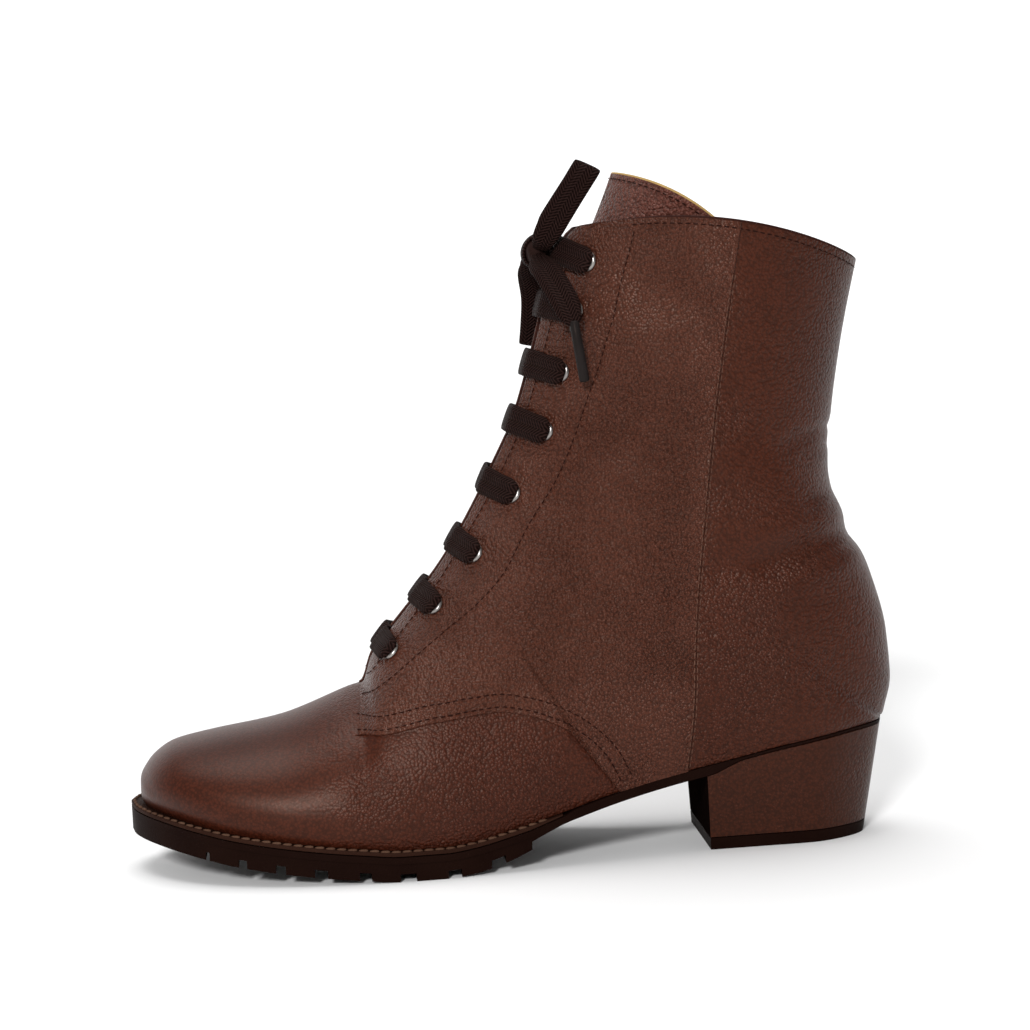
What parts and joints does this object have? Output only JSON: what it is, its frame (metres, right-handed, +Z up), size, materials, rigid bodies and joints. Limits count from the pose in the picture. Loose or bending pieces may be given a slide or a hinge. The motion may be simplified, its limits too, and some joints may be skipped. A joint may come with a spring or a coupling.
{
  "type": "lace up ankle boot",
  "caption": "Lace up ankle boot with a plain rounded toe, closed vamp, facings laced over a wide tongue, covered block heel and lugged sole.",
  "frame": {"origin": "on the floor, under the middle of the boot as seen from above", "axes": "+X to the toe, +Y to the outer side of the foot, +Z up"},
  "size_m": [0.279, 0.0982, 0.2466],
  "materials": {
    "sole_rubber": "moulded near-black brown rubber",
    "midsole_brown": "stitched greyish brown runner",
    "heel_leather": "brown leather over a block heel",
    "top_piece_rubber": "black rubber lift",
    "brown_leather": "pebbled brown leather, soft gloss",
    "insole_tan": "tan sock",
    "tongue_leather": "pebbled brown leather, tan lining",
    "eyelet_metal": "polished metal",
    "lace_cord": "flat woven black-brown lace",
    "aglet_plastic": "dark shrunk tip"
  },
  "bodies": {
    "root": {"outsole": "sole_rubber", "midsole": "midsole_brown", "heel_block": "heel_leather", "top_piece": "top_piece_rubber", "upper": "brown_leather", "insole": "insole_tan", "tongue": "tongue_leather", "eyelet_out_1": "eyelet_metal", "eyelet_out_2": "eyelet_metal", "eyelet_out_3": "eyelet_metal", "eyelet_out_4": "eyelet_metal", "eyelet_out_5": "eyelet_metal", "eyelet_out_6": "eyelet_metal", "eyelet_out_7": "eyelet_metal", "eyelet_out_8": "eyelet_metal", "eyelet_in_1": "eyelet_metal", "eyelet_in_2": "eyelet_metal", "eyelet_in_3": "eyelet_metal", "eyelet_in_4": "eyelet_metal", "eyelet_in_5": "eyelet_metal", "eyelet_in_6": "eyelet_metal", "eyelet_in_7": "eyelet_metal", "eyelet_in_8": "eyelet_metal", "lace_bar_1": "lace_cord", "lace_bar_2": "lace_cord", "lace_bar_3": "lace_cord", "lace_bar_4": "lace_cord", "lace_bar_5": "lace_cord", "lace_bar_6": "lace_cord", "lace_bar_7": "lace_cord", "lace_bar_8": "lace_cord", "lace_knot": "lace_cord", "lace_loop_up": "lace_cord", "lace_loop_down": "lace_cord", "lace_tail_out": "lace_cord", "lace_tail_in": "lace_cord", "aglet_out": "aglet_plastic", "aglet_in": "aglet_plastic"}
  },
  "joints": []
}
